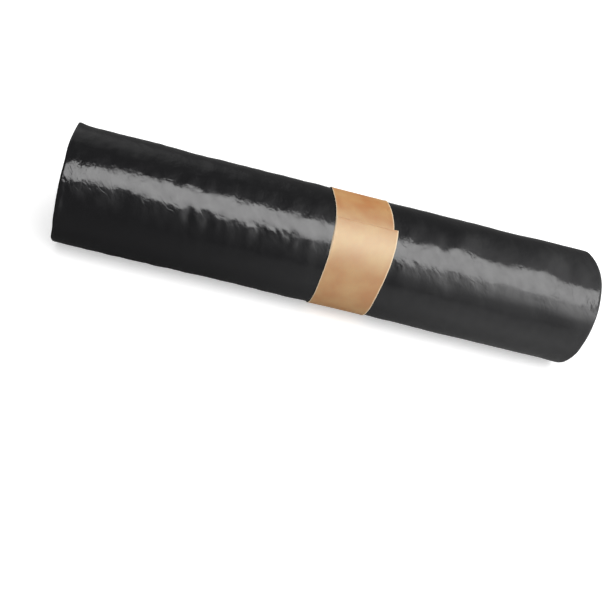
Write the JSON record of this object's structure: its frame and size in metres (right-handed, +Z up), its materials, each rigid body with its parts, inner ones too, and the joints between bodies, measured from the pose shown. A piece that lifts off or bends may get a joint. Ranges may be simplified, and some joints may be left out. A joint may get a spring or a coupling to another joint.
{
  "type": "bin bag roll",
  "caption": "Coreless roll of black film bin bags lying on its side, wound tight outside and loose in the middle, with a lapped brown paper band.",
  "frame": {"origin": "middle of the flat spot on the underside, where the roll rests, at the middle of its length", "axes": "+X along the roll, +Z up, -Y towards the viewer in the picture, with the visible end of the paper band on that side"},
  "size_m": [0.35, 0.0786, 0.0775],
  "materials": {
    "black_film": "black low density film, glossy, finely creased aslant",
    "kraft_paper": "brown kraft paper with a slight sheen, faint fibres, pale cut edges"
  },
  "bodies": {
    "root": {"film_roll": "black_film", "paper_band": "kraft_paper"}
  },
  "joints": []
}
